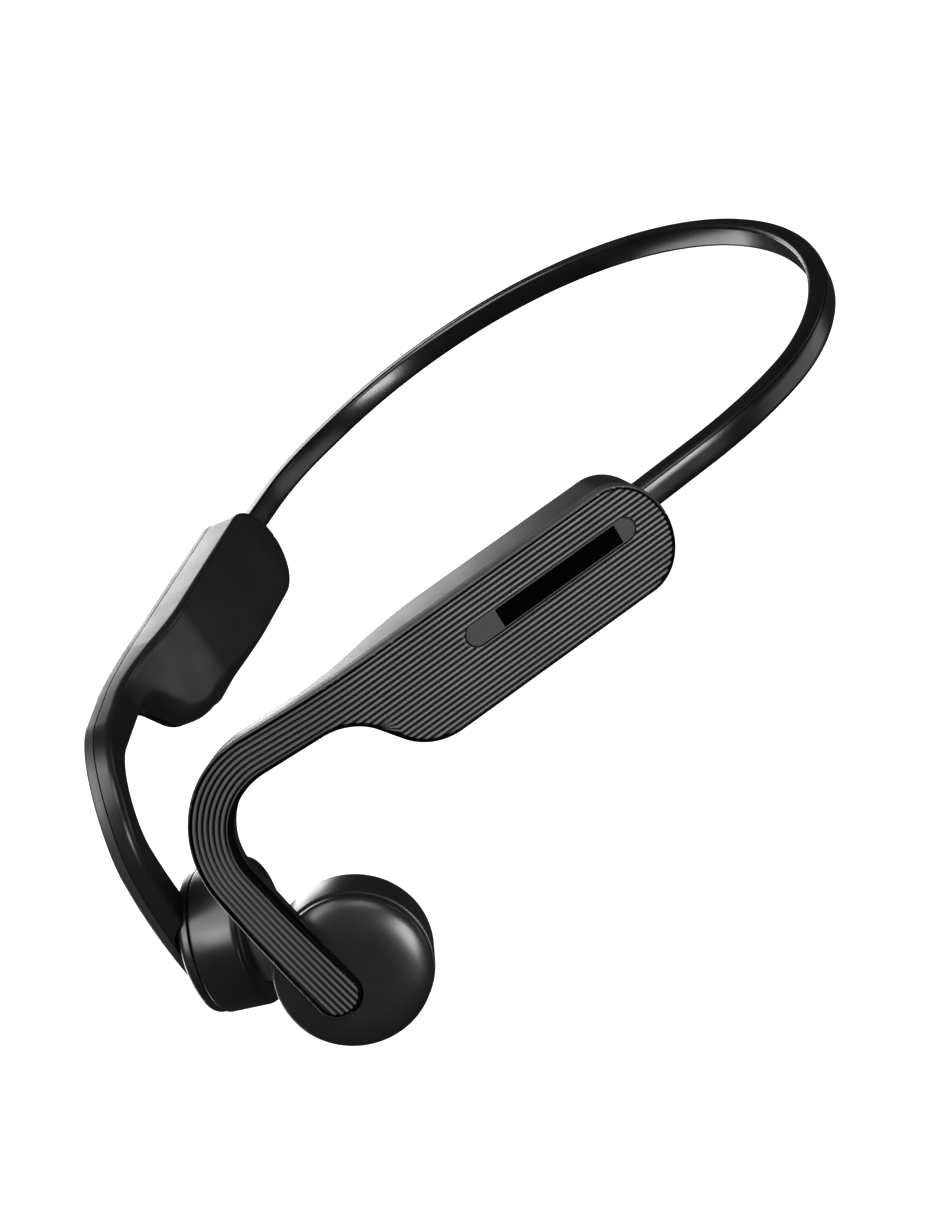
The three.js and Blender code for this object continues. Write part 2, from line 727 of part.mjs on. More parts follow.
const barPocket = block(
  [BAR_FRONT - BAR_GAP, BUTTON_LEVEL - BAR_HALF - BAR_GAP, -BAR_THICKNESS - BAR_GAP],
  [BAR_REAR + BAR_GAP, BUTTON_LEVEL + BAR_HALF + BAR_GAP, 1],
);
const flangeBack = -shellTop - FLANGE_THICKNESS;
const buttonBody = joined([
  stadium(buttonLength, BUTTON_RADIUS, flangeBack, 0),
  stadium(buttonLength + 2 * FLANGE_WIDTH, BUTTON_RADIUS + FLANGE_WIDTH, flangeBack, -shellTop),
]).translate(buttonMiddle, BUTTON_LEVEL, 0);
const bar = block(
  [BAR_FRONT, BUTTON_LEVEL - BAR_HALF, -BAR_THICKNESS],
  [BAR_REAR, BUTTON_LEVEL + BAR_HALF, 0],
);
const buttonSwitch = block(
  [buttonMiddle - SWITCH_HALF, BUTTON_LEVEL - SWITCH_HALF, flangeBack - 1.9],
  [buttonMiddle + SWITCH_HALF, BUTTON_LEVEL + SWITCH_HALF, flangeBack - PRESS_TRAVEL - GAP],
);
add(leftArm, 'multi_function_button', cut(buttonBody, [barPocket]), buttonGrey);
add(leftArm, 'button_bar', bar, glossBlack);
add(leftArm, 'button_switch', buttonSwitch, chipGrey);
add(leftArm, 'main_board', block([3, -6, -5.5], [37, 6.5, -4.7]), boardGreen);
add(leftArm, 'radio_module', block([24, -4.5, -6.9], [33, 4.5, -5.8]), chipGrey);
add(leftArm, 'microphone', block([5, -4.5, -6.9], [8.5, -1.8, -5.8]), nickel);

// Right housing: battery, charging board, port with its flap, volume buttons and lamp.
const rightArm = armFrame(-1);
headphones.add(rightArm);

const innerWall = WALL - HALF_HEIGHT;
const flangeBottom = innerWall + GAP;
const flangeTop = flangeBottom + FLANGE_THICKNESS;
const switchBottom = flangeTop + PRESS_TRAVEL + 0.1;
add(rightArm, 'battery_cell', block([4, -3.6, 2.6], [36, 7, 6.8]), cellSilver);
add(rightArm, 'charge_board', block([2.5, BOARD_BOTTOM, 2.3], [37, -3.9, 6.3]), boardGreen);
for (const [name, s] of Object.entries(VOLUME_PLACES)) {
  const button = joined([
    edgeStadium(VOLUME_LENGTH, VOLUME_RADIUS, -HALF_HEIGHT - VOLUME_PROUD, flangeTop),
    edgeStadium(
      VOLUME_LENGTH + 2 * FLANGE_WIDTH,
      VOLUME_RADIUS + FLANGE_WIDTH,
      flangeBottom,
      flangeTop,
    ),
  ]);
  const contact = block(
    [s - SWITCH_HALF, switchBottom, EDGE_DEPTH - 1.5],
    [s + SWITCH_HALF, BOARD_BOTTOM - GAP, EDGE_DEPTH + 1.5],
  );
  add(rightArm, `volume_${name}_button`, button.translate(s, 0, EDGE_DEPTH), buttonGrey);
  add(rightArm, `volume_${name}_switch`, contact, chipGrey);
}

// The port is an open-ended tube; the flap closes its mouth with a short plug.
const flapInside = FLAP_THICKNESS - HALF_HEIGHT;
const portTop = BOARD_BOTTOM - GAP;
const port = cut(edgeStadium(PORT_LENGTH, PORT_RADIUS, flapInside + 2 * GAP, portTop), [
  edgeStadium(PORT_LENGTH - 0.8, PORT_RADIUS - 0.4, -HALF_HEIGHT, portTop - 1),
]);
const flap = joined([
  edgeStadium(FLAP_LENGTH, FLAP_RADIUS, -HALF_HEIGHT, flapInside),
  edgeStadium(PORT_LENGTH - 2.4, PORT_RADIUS - 0.9, -HALF_HEIGHT + 0.2, flapInside + 1),
]);
const lamp = edgeStadium(LAMP_LENGTH, LAMP_RADIUS, -HALF_HEIGHT, LAMP_HEIGHT - HALF_HEIGHT);
add(rightArm, 'charge_port', port.translate(PORT_PLACE, 0, EDGE_DEPTH), nickel);
add(rightArm, 'port_flap', flap.translate(PORT_PLACE, 0, EDGE_DEPTH), rubberBlack);
add(rightArm, 'status_lamp', lamp.translate(LAMP_PLACE, 0, EDGE_DEPTH), lampWhite);

// Stand the model on its pods and strap, centred over its footprint.
headphones.rotation.x = STAND_TILT;
headphones.updateMatrixWorld(true);
const bounds = new THREE.Box3().setFromObject(headphones, true);
const centre = bounds.getCenter(new THREE.Vector3());
headphones.position.set(-centre.x, -centre.y, -bounds.min.z);

export default headphones;
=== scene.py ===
"""Looks of the neckband bone conduction headphones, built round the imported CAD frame.

Lengths in the drawing are millimetres. The drawing is level; rest() tips it back on to its pods
and strap, where the CAD model stands, and turns it into metres. A point of an arm is given as s
along it, larger to the rear, t up, and a depth in from its outer face. A pod's profile is given
as radius and distance in towards the head.
"""

import json
import math

import bmesh
import bpy
import numpy as np
from mathutils import Matrix, Vector


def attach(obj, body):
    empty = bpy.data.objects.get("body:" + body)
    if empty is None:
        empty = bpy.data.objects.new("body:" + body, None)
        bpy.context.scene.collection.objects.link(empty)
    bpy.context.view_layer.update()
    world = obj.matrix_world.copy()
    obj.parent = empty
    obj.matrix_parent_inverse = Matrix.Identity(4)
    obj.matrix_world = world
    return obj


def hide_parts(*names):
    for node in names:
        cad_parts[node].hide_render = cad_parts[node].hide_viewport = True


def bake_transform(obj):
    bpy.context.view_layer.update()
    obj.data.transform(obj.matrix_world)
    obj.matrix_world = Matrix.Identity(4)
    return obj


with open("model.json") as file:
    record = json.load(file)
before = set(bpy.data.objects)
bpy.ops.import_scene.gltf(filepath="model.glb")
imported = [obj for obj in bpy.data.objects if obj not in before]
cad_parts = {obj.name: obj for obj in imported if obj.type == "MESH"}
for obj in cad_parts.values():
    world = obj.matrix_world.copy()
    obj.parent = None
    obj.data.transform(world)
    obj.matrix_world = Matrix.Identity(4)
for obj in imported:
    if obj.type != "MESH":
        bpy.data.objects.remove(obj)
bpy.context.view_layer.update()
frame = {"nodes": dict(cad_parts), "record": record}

# ---------- dimensions of the drawing ----------

MM = 0.001
STAND_TILT = math.radians(-19.9)
STAND_SHIFT = (-34.7484, 36.0645)  # moves the tipped model along Y and Z on to its footprint

HALF_HEIGHT = 9.3
REAR_START = 36.0
REAR_REACH = 7.5
BELLY_START = 0.5
BELLY_RADIUS = 9.5
NECK_RADIUS = 8.9
SWEEP_ANGLE = 1.007
STRIP_HALF = 3.3
TIP_HALF = 3.75
HOOK_START = -27.0
HOOK_RADIUS = 14.0
HOOK_TURN = math.radians(98)
DROP = 23.8

ROLL_START = -9.5
ROLL_SLANT = math.radians(32)
ROLL_RADIUS = 57.0
ARM_X = 37.8
TOE_OUT = math.radians(26.7)

COVER_THICKNESS = 1.6
COVER_BEVEL = 0.4
COVER_EDGE = [(0.0, COVER_THICKNESS), (0.0, 0.42), (0.07, 0.2), (0.2, 0.06)]  # (inset, depth)
SHELL_TOP = 1.68
SHELL_LIP = 0.12
HOUSING_DEPTH = 8.8
HOOK_DEPTH = 4.8
DEPTH_FADE = (-18.0, 6.0)
EDGE_RADIUS = 1.4
BELLY_EDGE_RADIUS = 4.4
BELLY_FADE = 24.0
NECK_FADE = 8.0
WALL = 1.3
POCKET_TOP = 1.0

GROOVE_PITCH = 0.845
FIRST_GROOVE = 0.5
GROOVE_COUNT = 23
GROOVE_DEPTH = 0.42
GROOVE_SHAPE = [  # (distance from the groove's middle, share of its depth)
    (-0.25, 0),
    (-0.22, 0.15),
    (-0.12, 0.85),
    (0, 1),
    (0.12, 0.85),
    (0.22, 0.15),
    (0.25, 0),
    (0.42, -0.05),
]
GROOVE_STOP = 0.5  # the grooves end this far from the outline
GROOVE_RUN_OUT = 0.12
# Painted shade: the cover is made near black and without reflection in a band BORDER_WIDTH wide
# along its outline and on its lower edge's bevel; the top edge's bevel gets only a share of that
# darkening, in colour alone.
BORDER_WIDTH = 0.72
BORDER_FADE = 0.1
TOP_BORDER_SHADE = 0.55

POD_CENTRE = (-33.7, -33.0, 2.6)
POD_AXIS = (0.199, -0.213, 1.0)
CAP_RADIUS = 12.2
CAP_RISE = 1.9
CAP_BORE_RADIUS = 10.9
CAP_END = 1.2
CAP_FLOOR = 2.0
DOME_START = 5.5
DOME_END = 0.35
SEAT_MARGIN = 0.12
SEAT_TOP = -3
SEAT_DEPTH = 1.9  # below the arm's outer face
POD_RADIUS = 12.5
POD_LIP_RADIUS = 11.4
POD_EDGE_RADIUS = 1.5
POD_MOUTH_RADIUS = 9.3
SHELL_START = 1.5
SHELL_END = 10.0
PAD_FACE = 11.4
PAD_BACK = 2.0
PAD_RADIUS = 9.0
PAD_EDGE_RADIUS = 1.2

STRAP_HALF_SPAN = 62.0
STRAP_REACH = 50.0
STRAP_WIDEST = 71.0
BEND_RADIUS = 55.0
LEAD_ANGLE = math.radians(22)
LEAD_LENGTH = 14.5
STRAP_LEVEL = 3.0
STRAP_RISE = 4.8
LEAD_STATIONS = 16
ENTRY_STATIONS = 40  # stations of its path that the opening in the housing is cut along
ENTRY_SECTION = [(-1.9, -2.55), (-1.9, 2.55), (2.2, 2.55), (2.2, -2.55)]

BUTTON_FRONT = 10.0
BUTTON_REAR = 36.5
BUTTON_LEVEL = 2.0
BUTTON_RADIUS = 1.9
BAR_FRONT = 14.0
BAR_REAR = 35.5
BAR_HALF = 1.55
BUTTON_GAP = 0.15
BAR_GAP = 0.05

EDGE_DEPTH = 4.3
VOLUME_PLACES = {"up": 19.0, "down": 29.5}
VOLUME_LENGTH = 7.5
VOLUME_RADIUS = 1.3
VOLUME_STAND = 0.4  # how far the volume buttons stand out of the edge
VOLUME_INNER_END = -7.6
PORT_PLACE = 7.0
PORT_LENGTH = 9
PORT_RADIUS = 1.6
FLAP_LENGTH = 12
FLAP_RADIUS = 2
PLUG_LENGTH = 6.6
PLUG_RADIUS = 0.7
LAMP_PLACE = 36.0
LAMP_LENGTH = 1.6
LAMP_RADIUS = 0.6
GAP = 0.3

SIDES = {"left": 1, "right": -1}
MERGE_DISTANCE = 2e-6
BLUNT = 0.03  # keeps the first and last ring of an arm from shrinking to a line

# ---------- mesh helpers ----------


def rest(points):
    """Level millimetres to the rest position in metres."""
    points = np.asarray(points, float)
    x, y, z = points[..., 0], points[..., 1], points[..., 2]
    c, s = math.cos(STAND_TILT), math.sin(STAND_TILT)
    moved = [x, c * y - s * z + STAND_SHIFT[0], s * y + c * z + STAND_SHIFT[1]]
    return np.stack(moved, axis=-1) * MM


def new_object(name, verts, faces, **layers):
    """A mesh object; layers are named values for its vertices, from 0 to 1."""
    mesh = bpy.data.meshes.new(name)
    mesh.from_pydata([tuple(v) for v in verts], [], faces)
    for layer, values in layers.items():
        mesh.attributes.new(layer, "FLOAT", "POINT").data.foreach_set("value", values)
    obj = bpy.data.objects.new(name, mesh)
    bpy.context.scene.collection.objects.link(obj)
    bm = bmesh.new()
    bm.from_mesh(mesh)
    bmesh.ops.remove_doubles(bm, verts=bm.verts, dist=MERGE_DISTANCE)
    bmesh.ops.recalc_face_normals(bm, faces=bm.faces)
    bm.to_mesh(mesh)
    bm.free()
    return obj


def ring_faces(rings, count, wrap):
    """Quads between neighbouring rings of count points each; rings is how many there are."""
    rows = np.arange(rings if wrap else rings - 1)[:, None]
    cols = np.arange(count)[None, :]
    here, there = rows * count, ((rows + 1) % rings) * count
    after = (cols + 1) % count
    quads = np.stack([here + cols, here + after, there + after, there + cols], axis=-1)
    return quads.reshape(-1, 4).tolist()


def loft(name, rings, side=1, **layers):
    """A closed mesh over rings given in level millimetres, with flat ends."""
    rings = np.array(rings, float)
    rings[..., 0] *= side
    ring_count, count, _ = rings.shape
    last = (ring_count - 1) * count
    faces = ring_faces(ring_count, count, wrap=False)
    faces.append(list(range(count))[::-1])
    faces.append(list(range(last, last + count)))
    return new_object(name, rest(rings).reshape(-1, 3), faces, **layers)


def shaded(obj, angle=32):
    """Smooth shading with sharp edges above an angle in degrees."""
    obj.data.polygons.foreach_set("use_smooth", [True] * len(obj.data.polygons))
    obj.data.set_sharp_from_angle(angle=math.radians(angle))
    return obj


def carve(obj, tools, operation="DIFFERENCE"):
    """Cuts each tool from obj, or joins it on, and removes the tools."""
    for tool in tools:
        modifier = obj.modifiers.new("carve", "BOOLEAN")
        modifier.operation = operation
        modifier.solver = "EXACT"
        modifier.object = tool
    graph = bpy.context.evaluated_depsgraph_get()
    graph.update()
    result = bpy.data.meshes.new_from_object(obj.evaluated_get(graph))
    obj.modifiers.clear()
    obj.data = result
    for tool in tools:
        bpy.data.objects.remove(tool)
    return obj


def mirrored(obj, side):
    """The piece itself for the left side, its mirror image for the right one."""
    if side < 0:
        obj.data.transform(Matrix.Scale(-1, 4, (1, 0, 0)))
        obj.data.flip_normals()
    return obj


def eased(share):
    """A share from 0 to 1 with a gentle start and end."""
    return share * share * (3 - 2 * share)


# ---------- drawing of the arm ----------

STRIP_LINE = HALF_HEIGHT - STRIP_HALF
BELLY_LEVEL = BELLY_RADIUS - HALF_HEIGHT
NECK_LEVEL = STRIP_LINE - STRIP_HALF - NECK_RADIUS
SWEEP_REACH = BELLY_RADIUS + NECK_RADIUS
SWEEP_RISE = NECK_LEVEL - BELLY_LEVEL + SWEEP_REACH * math.cos(SWEEP_ANGLE)
NECK_START = (
    BELLY_START
    - SWEEP_REACH * math.sin(SWEEP_ANGLE)
    - SWEEP_RISE / math.tan(SWEEP_ANGLE)
)
TURN_HALF = STRIP_HALF + 0.4 * (TIP_HALF - STRIP_HALF)
UPRIGHT = ("rear", "housing", "belly", "neck")


def placed(s, t, depth):
    """A point given along, up and in from the arm's outer face, in the level frame."""
    s, t, depth = np.broadcast_arrays(s, t, depth)
    x = ARM_X + s * math.sin(TOE_OUT) - depth * math.cos(TOE_OUT)
    y = s * math.cos(TOE_OUT) + depth * math.sin(TOE_OUT)
    return np.stack([x, y, t], axis=-1).astype(float)


def rolled(s, t, depth):
    """The same, with the front of the arm rolled in towards the head."""
    s, t, depth = (np.asarray(v, float) for v in (s, t, depth))
    fx, fy = -math.cos(ROLL_SLANT), math.sin(ROLL_SLANT)
    travel = (s - ROLL_START) * fx + t * fy
    side = -(s - ROLL_START) * fy + t * fx
    angle = np.maximum(travel, 0) / ROLL_RADIUS
    run = np.minimum(travel, 0) + (ROLL_RADIUS - depth) * np.sin(angle)
    inward = ROLL_RADIUS - (ROLL_RADIUS - depth) * np.cos(angle)
    return placed(ROLL_START + run * fx - side * fy, run * fy + side * fx, inward)


def drop_point(distance):
    """Middle of the strip at a distance down its straight run to the pod."""
    return (
        HOOK_START - HOOK_RADIUS * math.sin(HOOK_TURN) - distance * math.cos(HOOK_TURN),
        STRIP_LINE
        - HOOK_RADIUS
        + HOOK_RADIUS * math.cos(HOOK_TURN)
        - distance * math.sin(HOOK_TURN),
    )


def across_hook(centre, q, half):
    """Low and high edge of the strip where its line has turned by q."""
    side = (half * math.sin(q), -half * math.cos(q))
    return (
        (centre[0] + side[0], centre[1] + side[1]),
        (centre[0] - side[0], centre[1] - side[1]),
    )


def edges(kind, q, inset):
    """Low and high edge (s, t) of the outline at a station, moved in by inset."""
    top = HALF_HEIGHT - inset
    if kind == "rear":
        s = REAR_START + (REAR_REACH - inset) * math.cos(q)
        return (s, -top * math.sin(q)), (s, top * math.sin(q))
    if kind == "housing":
        return (q, -top), (q, top)
    if kind == "belly":
        radius = BELLY_RADIUS - inset
        s = BELLY_START - radius * math.sin(q)
        return (s, BELLY_LEVEL - radius * math.cos(q)), (s, top)
    if kind == "neck":
        radius = NECK_RADIUS + inset
        s = NECK_START + radius * math.sin(q)
        return (s, NECK_LEVEL + radius * math.cos(q)), (s, top)
    if kind == "turn":
        centre = (
            HOOK_START - HOOK_RADIUS * math.sin(q),
            STRIP_LINE - HOOK_RADIUS + HOOK_RADIUS * math.cos(q),
        )
        half = STRIP_HALF + (TURN_HALF - STRIP_HALF) * q / HOOK_TURN
        return across_hook(centre, q, half - inset)
    if kind == "drop":
        half = TURN_HALF + (TIP_HALF - TURN_HALF) * q / DROP
        return across_hook(drop_point(q), HOOK_TURN, half - inset)
    radius = TIP_HALF - inset
    centre = drop_point(DROP + radius * math.sin(q))
    return across_hook(centre, HOOK_TURN, radius * math.cos(q))


def stations(kind, start, end, steps, skip=0):
    """Evenly spaced stations on one part of the arm's outline."""
    return [(kind, q) for q in np.linspace(start, end, steps + 1)[skip:]]


def arm_stations(fineness, to_tip):
    """Stations from the rear end to the hook; fineness is how many there are to a curve."""
    found = stations("rear", BLUNT, math.pi / 2, 2 * fineness)
    found += stations("housing", REAR_START, BELLY_START, 2 * fineness, 1)
    found += stations("belly", 0, SWEEP_ANGLE, fineness, 1)
    found += stations("neck", SWEEP_ANGLE, 0, fineness)
    found += stations("turn", 0, HOOK_TURN, 2 * fineness)
    found += stations("drop", 0, DROP, fineness, 1)
    if to_tip:
        found += stations("tip", 0, math.pi / 2 - BLUNT, fineness, 1)
    return found


def shell_depth(kind, q):
    """Depth of the shell's inner face, less along the hook than at the housing."""
    s = edges(kind, q, 0)[1][0]
    fade = min(max((s - DEPTH_FADE[0]) / (DEPTH_FADE[1] - DEPTH_FADE[0]), 0), 1)
    return HOOK_DEPTH + (HOUSING_DEPTH - HOOK_DEPTH) * eased(fade)


def arm_ring(kind, q, section):
    """One ring of (edge, inset, depth) corners, edge 0 low and 1 high."""
    flat = [edges(kind, q, inset)[edge] for edge, inset, _ in section]
    depth = [corner[2] for corner in section]
    return rolled([p[0] for p in flat], [p[1] for p in flat], depth)


# ---------- ribbed outer cover ----------


def groove_profile():
    """Across positions from the top edge with the groove depth at each of them."""
    rows = []
    for i in range(-1, GROOVE_COUNT):
        centre = FIRST_GROOVE + i * GROOVE_PITCH
        rows += [(centre + x, GROOVE_DEPTH * d) for x, d in GROOVE_SHAPE]
    return np.array(rows)


def rib_position(kind, q, inset):
    """Rib coordinates of the low and high edge: distance from the line of the top edge."""
    low, high = edges(kind, q, inset)
    if kind in UPRIGHT:
        return HALF_HEIGHT - low[1], HALF_HEIGHT - high[1]
    half = math.dist(low, high) / 2
    return STRIP_HALF + half, STRIP_HALF - half


def outline_segments(places):
    """Starts and ends of the segments of the arm's outline."""
    low = [edges(kind, q, 0)[0] for kind, q in places]
    high = [edges(kind, q, 0)[1] for kind, q in places]
    loop = np.array(low + high[::-1])
    return loop, np.roll(loop, -1, axis=0)


def edge_distance(points, start, end):
    """Distance of each point from the nearest of the segments."""
    along = end - start
    length = np.maximum((along**2).sum(1), 1e-12)
    offset = points[:, None, :] - start[None]
    share = np.clip((offset * along).sum(2) / length, 0, 1)
    gap = offset - share[..., None] * along
    return np.sqrt((gap**2).sum(2)).min(1)


def cover(name, side):
    """Outer cover with its grooves, which stop short of the smooth border."""
    places = arm_stations(30, to_tip=True)
    profile = groove_profile()[::-1]
    start, end = outline_segments(places)
    rings, grooves, border_shade = [], [], []
    for kind, q in places:
        low, high = (np.array(p) for p in edges(kind, q, COVER_BEVEL))
        rib_low, rib_high = rib_position(kind, q, COVER_BEVEL)
        share = np.clip((profile[:, 0] - rib_high) / (rib_low - rib_high), 0, 1)
        flat = high + (low - high) * share[:, None]
        inside = edge_distance(flat, start, end)
        sunk = profile[:, 1] * np.clip((inside - GROOVE_STOP) / GROOVE_RUN_OUT, 0, 1)
        face = rolled(flat[:, 0], flat[:, 1], sunk)
        low_edge = [(0, i, d) for i, d in COVER_EDGE] + [(0, COVER_BEVEL, 0)]
        high_edge = [(1, COVER_BEVEL, 0)] + [(1, i, d) for i, d in COVER_EDGE[::-1]]
        below = arm_ring(kind, q, low_edge)
        above = arm_ring(kind, q, high_edge)
        rings.append(np.concatenate([below, face, above]))
        smooth = np.zeros(len(below))
        # The groove layer, each point's share of the groove depth, is painted shade in the
        # material.
        grooves.append(np.concatenate([smooth, np.clip(sunk / GROOVE_DEPTH, 0, 1), smooth]))
        # The border layer is painted shade: 1 in the band along the outline and on the lower edge's
        # bevel, less on the top edge's bevel.
        dark = 1 - np.clip((inside - BORDER_WIDTH) / BORDER_FADE, 0, 1)
        border_shade.append(np.concatenate([smooth + 1, dark, smooth + TOP_BORDER_SHADE]))
    layers = {"groove": np.concatenate(grooves), "border": np.concatenate(border_shade)}
    return loft(name, rings, side, **layers)


# ---------- inner shell ----------


def fillet(inset, depth, radius, steps):
    """Quarter circle from the side wall at inset to the inner face at depth."""
    return [
        (
            inset + radius * (1 - math.cos(a)),
            depth - radius * (1 - math.sin(a)),
        )
        for a in np.linspace(0, math.pi / 2, steps)
    ]


def lower_radius(kind, q):
    """The inner face's lower edge, rounded more where it sweeps up to the hook."""
    s = edges(kind, q, 0)[0][0]
    if s > BELLY_START:
        share = np.clip((BELLY_FADE - s) / (BELLY_FADE - BELLY_START), 0, 1)
    else:
        share = np.clip((s - NECK_START) / NECK_FADE, 0, 1)
    return EDGE_RADIUS + (BELLY_EDGE_RADIUS - EDGE_RADIUS) * eased(share)


def slab(name, places, inset, top, bottom):
    """A square-edged solid along the arm from depth top to the depth bottom() gives."""
    rings = []
    for kind, q in places:
        low = bottom(kind, q)
        section = [(0, inset, top), (0, inset, low), (1, inset, low), (1, inset, top)]
        rings.append(arm_ring(kind, q, section))
    return loft(name, rings)


def pod_frame(side=1):
    """Centre and three axes of a pod; the last one runs in to the head."""
    centre = placed(*POD_CENTRE)
    axis = placed(*POD_AXIS) - placed(0, 0, 0)
    axis /= np.linalg.norm(axis)
    across = np.cross(axis, (0, 0, 1))
    across /= np.linalg.norm(across)
    up = np.cross(across, axis)
    return [v * (side, 1, 1) for v in (centre, across, up, axis)]


def turned(name, profile, side=1, segments=128):
    """A solid turned about the pod's axis; profile is (radius, distance in) pairs."""
    centre, across, up, axis = pod_frame(side)
    profile = np.array(profile, float)
    rings = []
    for q in np.linspace(0, 2 * math.pi, segments, endpoint=False):
        spoke = across * math.cos(q) + up * math.sin(q)
        rings.append(centre + profile[:, :1] * spoke + profile[:, 1:] * axis)
    verts = rest(np.array(rings)).reshape(-1, 3)
    return new_object(name, verts, ring_faces(segments, len(profile), wrap=True))


def stadium(name, length, radius, levels, side, steps=12, flat=True, middle=(0, 0)):
    """A stadium-shaped piece that runs along the arm.

    levels lists (inset, depth) on the outer face when flat, else (inset, height) on the lower
    edge. middle is (along, up) when flat, else (along, depth).
    """
    rings = []
    for inset, level in levels:
        r = radius - inset
        straight = length / 2 - radius
        q = np.linspace(-math.pi / 2, math.pi / 2, steps)
        right = np.stack([straight + r * np.cos(q), r * np.sin(q)], axis=1)
        ring = np.concatenate([right, -right])
        s, w = ring[:, 0] + middle[0], ring[:, 1]
        if flat:
            rings.append(placed(s, w + middle[1], level))
        else:
            rings.append(placed(s, level, w + middle[1]))
    return loft(name, rings, side)


def pod_space(side):
    """The room cut out of the inner shell for the pod."""
    rim = CAP_RADIUS + GAP
    return turned(
        "pod_space",
        [
            (0, -CAP_RISE - GAP),
            (rim - 3.2, -CAP_RISE - GAP),
            (rim - 1.2, -CAP_RISE + 0.3),
            (rim, -0.2),
            (POD_RADIUS + GAP, SHELL_START),
            (POD_RADIUS + GAP, SHELL_END),
            (0, SHELL_END),
        ],
        side,
    )


def strap_entry(side):
    """The opening in the housing's rear end for the strap."""
    path = strap_path(extra=1.0)[:ENTRY_STATIONS]
    return loft("strap_entry", strap_rings(path, ENTRY_SECTION), side)


def edge_slot(s, length, radius, inside):
    """A slot in the housing's lower edge, from below it up to the level inside."""
    levels = [(0, -HALF_HEIGHT - 1), (0, inside)]
    return stadium("slot", length, radius, levels, -1, flat=False, middle=(s, EDGE_DEPTH))


def edge_slots():
    """Openings for the volume buttons, the port with its flap, and the lamp."""
    through = WALL - HALF_HEIGHT + 1
    flap_seat = 1 - HALF_HEIGHT
    slots = [
        edge_slot(s, VOLUME_LENGTH + 2 * GAP, VOLUME_RADIUS + GAP, through)
        for s in VOLUME_PLACES.values()
    ]
    slots.append(edge_slot(PORT_PLACE, PORT_LENGTH + 2 * GAP, PORT_RADIUS + GAP, through))
    slots.append(edge_slot(PORT_PLACE, FLAP_LENGTH + 2 * GAP, FLAP_RADIUS + GAP, flap_seat))
    slots.append(edge_slot(LAMP_PLACE, LAMP_LENGTH + 2 * GAP, LAMP_RADIUS + GAP, through))
    return slots


def shell(name, side):
    """Housing and ear hook in one piece, with room for the insides, pod and strap."""
    lip = [(SHELL_LIP, SHELL_TOP), (0.0, SHELL_TOP + SHELL_LIP)]
    rings = []
    for kind, q in arm_stations(24, to_tip=False):
        depth = shell_depth(kind, q)
        low = lip + fillet(0, depth, lower_radius(kind, q), 9)
        high = lip + fillet(0, depth, EDGE_RADIUS, 9)
        section = [(0, i, d) for i, d in low] + [(1, i, d) for i, d in high[::-1]]
        rings.append(arm_ring(kind, q, section))
    body = loft(name, rings, side)
    hollow = [p for p in arm_stations(8, to_tip=False) if p[0] in UPRIGHT][:-2]
    pocket = slab("pocket", hollow, WALL, POCKET_TOP, lambda kind, q: shell_depth(kind, q) - WALL)
    tools = [mirrored(pocket, side), pod_space(side), strap_entry(side)]
    if side < 0:
        tools += edge_slots()
    return carve(body, tools)


# ---------- strap ----------


def strap_level(y):
    """Height of the strap's middle, which rises towards the nape."""
    q = min(max((y - STRAP_WIDEST) / STRAP_REACH, 0), 1)
    return STRAP_LEVEL + STRAP_RISE * q**1.5


def strap_path(extra=0.0):
    """Points and headings of the left half of the strap, from the housing to the middle."""
    bend_x = STRAP_HALF_SPAN - BEND_RADIUS
    lead_x = bend_x + BEND_RADIUS * math.cos(LEAD_ANGLE)
    lead_y = STRAP_WIDEST - BEND_RADIUS * math.sin(LEAD_ANGLE)
    path = []
    for run in np.linspace(LEAD_LENGTH + extra, 0, LEAD_STATIONS):
        x = lead_x - run * math.sin(LEAD_ANGLE)
        y = lead_y - run * math.cos(LEAD_ANGLE)
        path.append((x, y, LEAD_ANGLE))
    for q in np.linspace(LEAD_ANGLE, 0, 33)[1:]:
        x = bend_x + BEND_RADIUS * math.cos(q)
        path.append((x, STRAP_WIDEST - BEND_RADIUS * math.sin(q), q))
    for q in np.linspace(0, math.pi / 2, 97)[1:]:
        heading = math.atan2(STRAP_HALF_SPAN * math.sin(q), STRAP_REACH * math.cos(q))
        x = STRAP_HALF_SPAN * math.cos(q)
        path.append((x, STRAP_WIDEST + STRAP_REACH * math.sin(q), -heading))
    return path


def strap_rings(path, section):
    """Rings of (outward, up) corners along the path."""
    rings = []
    for x, y, heading in path:
        out = (math.cos(heading), -math.sin(heading))
        z = strap_level(y)
        rings.append([(x + o * out[0], y + o * out[1], z + u) for o, u in section])
    return np.array(rings)


def whole_strap(name, section):
    """The left half with its mirror image, joined in the middle."""
    left = strap_rings(strap_path(), section)
    right = left[:-1][::-1] * (-1, 1, 1)
    return loft(name, np.concatenate([left, right]))


# ---------- materials ----------

FINE_GRAIN = 2500  # noise scales, per metre of the object
GLOSS_GRAIN = 160
TONE_GRAIN = 90
METAL_FINE_GRAIN = 4000
METAL_GLOSS_GRAIN = 1500
METAL_TONE_GRAIN = 700


